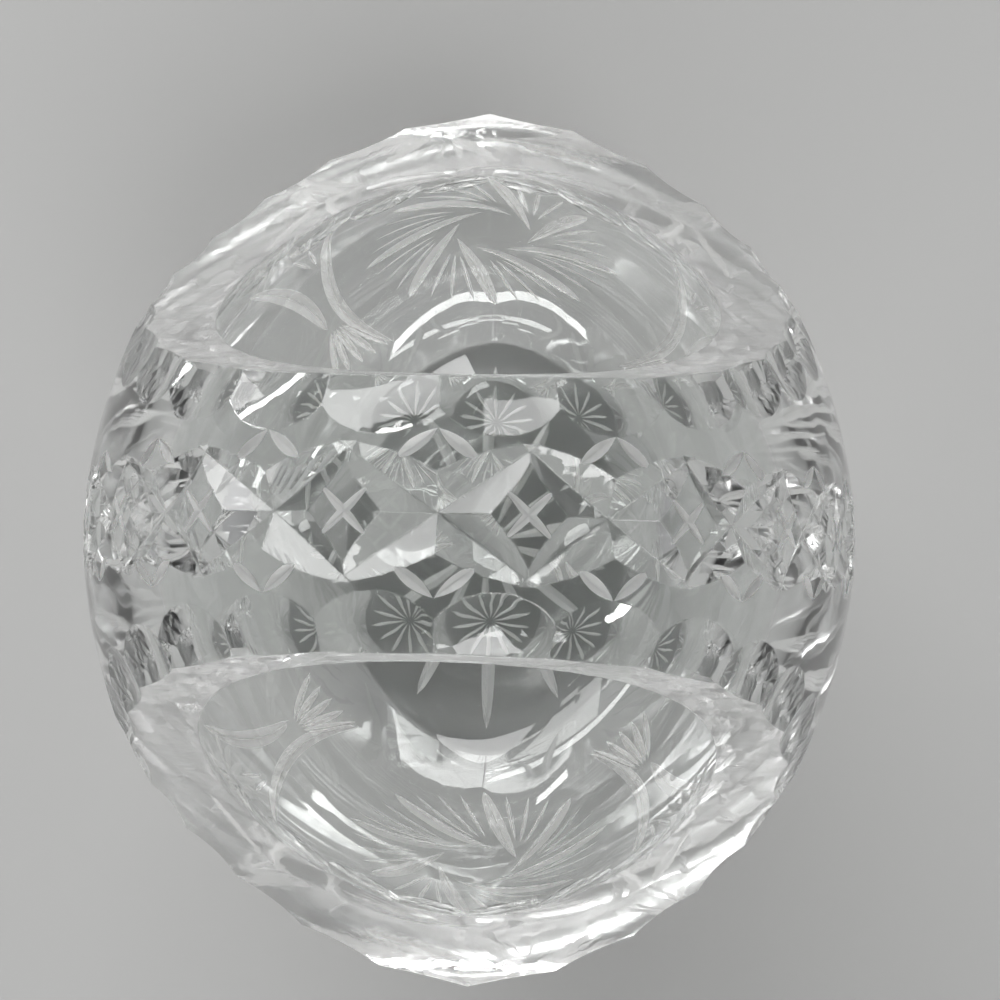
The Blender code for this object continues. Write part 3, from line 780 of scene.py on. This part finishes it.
def shade_exactly(mesh):
    """Smooth faces within each kind of cut, sharp edges between kinds, true normals on the egg."""
    mesh.shade_smooth()
    mesh.set_sharp_from_angle(angle=CREASE)
    bm = bmesh.new()
    bm.from_mesh(mesh)
    for edge in bm.edges:
        if len({face.material_index for face in edge.link_faces}) > 1:
            edge.smooth = False
    bm.to_mesh(mesh)
    bm.free()
    exact = {SHELL: shell_normal, CAVITY: cavity_normal}
    normals = [Vector((0, 0, 0))] * len(mesh.loops)
    for polygon in mesh.polygons:
        rule = exact.get(polygon.material_index)
        if rule is None:
            continue
        for loop in polygon.loop_indices:
            normals[loop] = rule(mesh.vertices[mesh.loops[loop].vertex_index].co)
    mesh.normals_split_custom_set(normals)


def cut(obj, tool):
    modifier = obj.modifiers.new(tool.name, "BOOLEAN")
    modifier.operation = "DIFFERENCE"
    modifier.solver = "MANIFOLD"
    modifier.object = tool


def noise(tree, size, detail):
    """Noise in the object's own coordinates, with features of about this size in metres."""
    place = tree.nodes.new("ShaderNodeTexCoord")
    texture = tree.nodes.new("ShaderNodeTexNoise")
    texture.inputs["Scale"].default_value = 1 / size
    texture.inputs["Detail"].default_value = detail
    tree.links.new(place.outputs["Object"], texture.inputs["Vector"])
    return texture.outputs["Fac"]


def spread(tree, value, low, high):
    """The noise's usual range stretched over low to high."""
    node = tree.nodes.new("ShaderNodeMapRange")
    node.inputs["From Min"].default_value = NOISE_LOW
    node.inputs["From Max"].default_value = NOISE_HIGH
    node.inputs["To Min"].default_value = low
    node.inputs["To Max"].default_value = high
    tree.links.new(value, node.inputs["Value"])
    return node.outputs["Result"]


def relief(tree, value, height):
    """A little relief, over edges that the polish has rounded."""
    rounded = tree.nodes.new("ShaderNodeBevel")
    rounded.samples = EDGE_SAMPLES
    rounded.inputs["Radius"].default_value = EDGE_RADIUS
    node = tree.nodes.new("ShaderNodeBump")
    node.inputs["Distance"].default_value = height
    node.inputs["Strength"].default_value = 1.0
    tree.links.new(value, node.inputs["Height"])
    tree.links.new(rounded.outputs["Normal"], node.inputs["Normal"])
    return node.outputs["Normal"]


def crystal_material(name, colour, clearness, waves, blur):
    """Crystal with a little relief and uneven polish."""
    material = bpy.data.materials.new(name)
    material.use_nodes = True
    tree = material.node_tree
    shader = tree.nodes["Principled BSDF"]
    shader.inputs["Base Color"].default_value = (*colour, 1.0)
    shader.inputs["IOR"].default_value = REFRACTIVE_INDEX
    shader.inputs["Transmission Weight"].default_value = clearness
    size, height = waves
    value = noise(tree, size, NOISE_DETAIL)
    tree.links.new(spread(tree, value, *blur), shader.inputs["Roughness"])
    tree.links.new(relief(tree, value, height), shader.inputs["Normal"])
    return material


# One material for each slot, in the slots' order
GLASS = [
    crystal_material("crystal_outside", CLEAR, 1.0, OUTSIDE_WAVES, POLISHED),
    crystal_material("crystal_inside", CLEAR, 1.0, INSIDE_WAVES, POLISHED),
    crystal_material("crystal_rim", FROSTED, RIM_CLEARNESS, RIM_WAVES, RIM_BLUR),
    crystal_material("crystal_flutes", CLEAR, 1.0, FLUTE_WAVES, POLISHED),
    crystal_material("crystal_polished_cuts", CLEAR, 1.0, CUT_WAVES, POLISHED),
    crystal_material("crystal_fine_cuts", FROSTED, FINE_CLEARNESS, SATIN_GRAIN, FINE_BLUR),
    crystal_material("crystal_satin_cuts", FROSTED, 1.0, SATIN_GRAIN, SATIN_BLUR),
    crystal_material("crystal_star_cuts", FROSTED, STAR_CLEARNESS, STAR_GRAIN, STAR_BLUR),
    crystal_material("crystal_foot", CLEAR, 1.0, FOOT_GRAIN, FOOT_BLUR),
]


def make_crystal():
    crystal = egg_blank()
    tools = [
        cavity_cutter(),
        foot_cutter(),
        window_cutter(1),
        window_cutter(-1),
        *flute_cutters(),
        *cross_chain_cutters(),
        *pinwheel_cutters(),
        *sprig_cutters(),
        star_cutter(),
    ]
    for tool in tools:
        cut(crystal, tool)
    depsgraph = bpy.context.evaluated_depsgraph_get()
    mesh = bpy.data.meshes.new_from_object(crystal.evaluated_get(depsgraph))
    mesh.name = "crystal"
    crystal.modifiers.clear()
    crystal.data = mesh
    for tool in tools:
        bpy.data.objects.remove(tool)
    shade_exactly(mesh)
    print("crystal", len(mesh.polygons), "faces")
    return crystal


def floor():
    """A plain pale floor, just clear of the foot."""
    bpy.ops.mesh.primitive_plane_add(size=FLOOR_SIDE, location=(0, 0, -FLOOR_GAP))
    plane = bpy.context.object
    plane.name = "floor"
    material = bpy.data.materials.new("floor")
    material.use_nodes = True
    shader = material.node_tree.nodes["Principled BSDF"]
    shader.inputs["Base Color"].default_value = (*FLOOR_COLOUR, 1.0)
    shader.inputs["Roughness"].default_value = FLOOR_ROUGHNESS
    plane.data.materials.append(material)


def soft_box(name, place, size, watts):
    light = bpy.data.lights.new(name, "AREA")
    light.shape = "RECTANGLE"
    light.size, light.size_y = size
    light.energy = watts
    obj = bpy.data.objects.new(name, light)
    obj.location = place
    obj.rotation_euler = (LAMP_AIM - place).to_track_quat("-Z", "Y").to_euler()
    bpy.context.scene.collection.objects.link(obj)


def studio():
    """A plain sky, darker overhead, and the lamps."""
    world = bpy.data.worlds.new("studio")
    bpy.context.scene.world = world
    world.use_nodes = True
    tree = world.node_tree
    background = tree.nodes["Background"]
    background.inputs["Strength"].default_value = 1.0
    place = tree.nodes.new("ShaderNodeTexCoord")
    split = tree.nodes.new("ShaderNodeSeparateXYZ")
    ramp = tree.nodes.new("ShaderNodeValToRGB")
    ramp.color_ramp.elements[0].position = 0.0
    ramp.color_ramp.elements[0].color = (*WORLD_AT_HORIZON, 1.0)
    ramp.color_ramp.elements[1].position = WORLD_TURN
    ramp.color_ramp.elements[1].color = (*WORLD_OVERHEAD, 1.0)
    tree.links.new(place.outputs["Generated"], split.inputs["Vector"])
    tree.links.new(split.outputs["Z"], ramp.inputs["Fac"])
    tree.links.new(ramp.outputs["Color"], background.inputs["Color"])
    soft_box("key", KEY_PLACE, KEY_SIZE, KEY_WATTS)
    soft_box("far_strip", FAR_STRIP_PLACE, FAR_STRIP_SIZE, FAR_STRIP_WATTS)
    soft_box("near_strip", NEAR_STRIP_PLACE, NEAR_STRIP_SIZE, NEAR_STRIP_WATTS)
    soft_box("near_top", NEAR_TOP_PLACE, NEAR_TOP_SIZE, NEAR_TOP_WATTS)


def deep_glass():
    """Let light bounce often enough inside the glass."""
    cycles = bpy.context.scene.cycles
    cycles.max_bounces = GLASS_BOUNCES
    cycles.transmission_bounces = GLASS_BOUNCES
    cycles.glossy_bounces = GLASS_BOUNCES


def photo_camera():
    """A camera where the photograph was taken, looking the way its perspective says."""
    half = PHOTO_SIDE / 2
    forward = Vector(
        (
            -(NADIR_PIXEL[0] - half) / FOCAL_PIXELS,
            (NADIR_PIXEL[1] - half) / FOCAL_PIXELS,
            -1.0,
        )
    ).normalized()
    right = forward.cross(Vector((0, 1, 0))).normalized()
    up = right.cross(forward)
    turn = Matrix.Rotation(-PHOTO_ROLL, 3, forward)
    right = turn @ right
    up = turn @ up
    data = bpy.data.cameras.new("photo_camera")
    data.sensor_fit = "HORIZONTAL"
    data.sensor_width = SENSOR_WIDTH
    data.lens = SENSOR_WIDTH * FOCAL_PIXELS / PHOTO_SIDE
    data.clip_start = CLIP_START
    camera = bpy.data.objects.new("photo_camera", data)
    basis = Matrix((right, up, -forward)).transposed().to_4x4()
    camera.matrix_world = Matrix.Translation(CAMERA_PLACE) @ basis
    bpy.context.scene.collection.objects.link(camera)
    bpy.context.scene.camera = camera


crystal = make_crystal()
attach(crystal, "root")
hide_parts("base", "bowl", "handle")
floor()
studio()
photo_camera()
deep_glass()
bpy.context.scene.view_settings.view_transform = "Standard"
